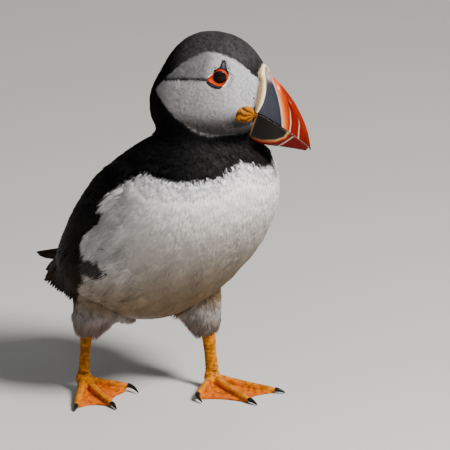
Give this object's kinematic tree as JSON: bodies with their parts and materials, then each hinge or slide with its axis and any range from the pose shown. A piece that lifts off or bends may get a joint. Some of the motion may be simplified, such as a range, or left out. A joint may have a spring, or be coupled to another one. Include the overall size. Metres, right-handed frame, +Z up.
{
  "type": "atlantic puffin",
  "caption": "Life-size standing Atlantic puffin in breeding dress, in mid-stride with its head turned to its left; a still, museum-like model.",
  "frame": {"origin": "on the floor under the middle of the bird's box", "axes": "+Z up, the bird's body faces -Y, its left side is +X"},
  "size_m": [0.1126, 0.1718, 0.2046],
  "materials": {
    "head_plumage": "close soft feathers, black crown, pale grey cheeks",
    "black_plumage": "overlapping feathers with a faint sheen",
    "white_plumage": "soft downy feathers",
    "leg_skin": "satin scaly skin",
    "claw_horn": "glossy horn",
    "bill_horn": "satin horn plates, slate base, cream bands, orange-red tip",
    "rosette_skin": "satin wrinkled skin",
    "eye": "wet gloss"
  },
  "bodies": {
    "root": {"head": "head_plumage", "neck": "black_plumage", "trunk": "white_plumage", "wing_left": "black_plumage", "wing_right": "black_plumage", "tail": "black_plumage", "thigh_left": "white_plumage", "thigh_right": "white_plumage", "shank_left": "leg_skin", "shank_right": "leg_skin", "foot_left": "leg_skin", "foot_right": "leg_skin", "claw_inner_left": "claw_horn", "claw_middle_left": "claw_horn", "claw_outer_left": "claw_horn", "claw_inner_right": "claw_horn", "claw_middle_right": "claw_horn", "claw_outer_right": "claw_horn", "bill_upper": "bill_horn", "bill_lower": "bill_horn", "rosette_left": "rosette_skin", "rosette_right": "rosette_skin", "eye_left": "eye", "eye_right": "eye"}
  },
  "joints": []
}
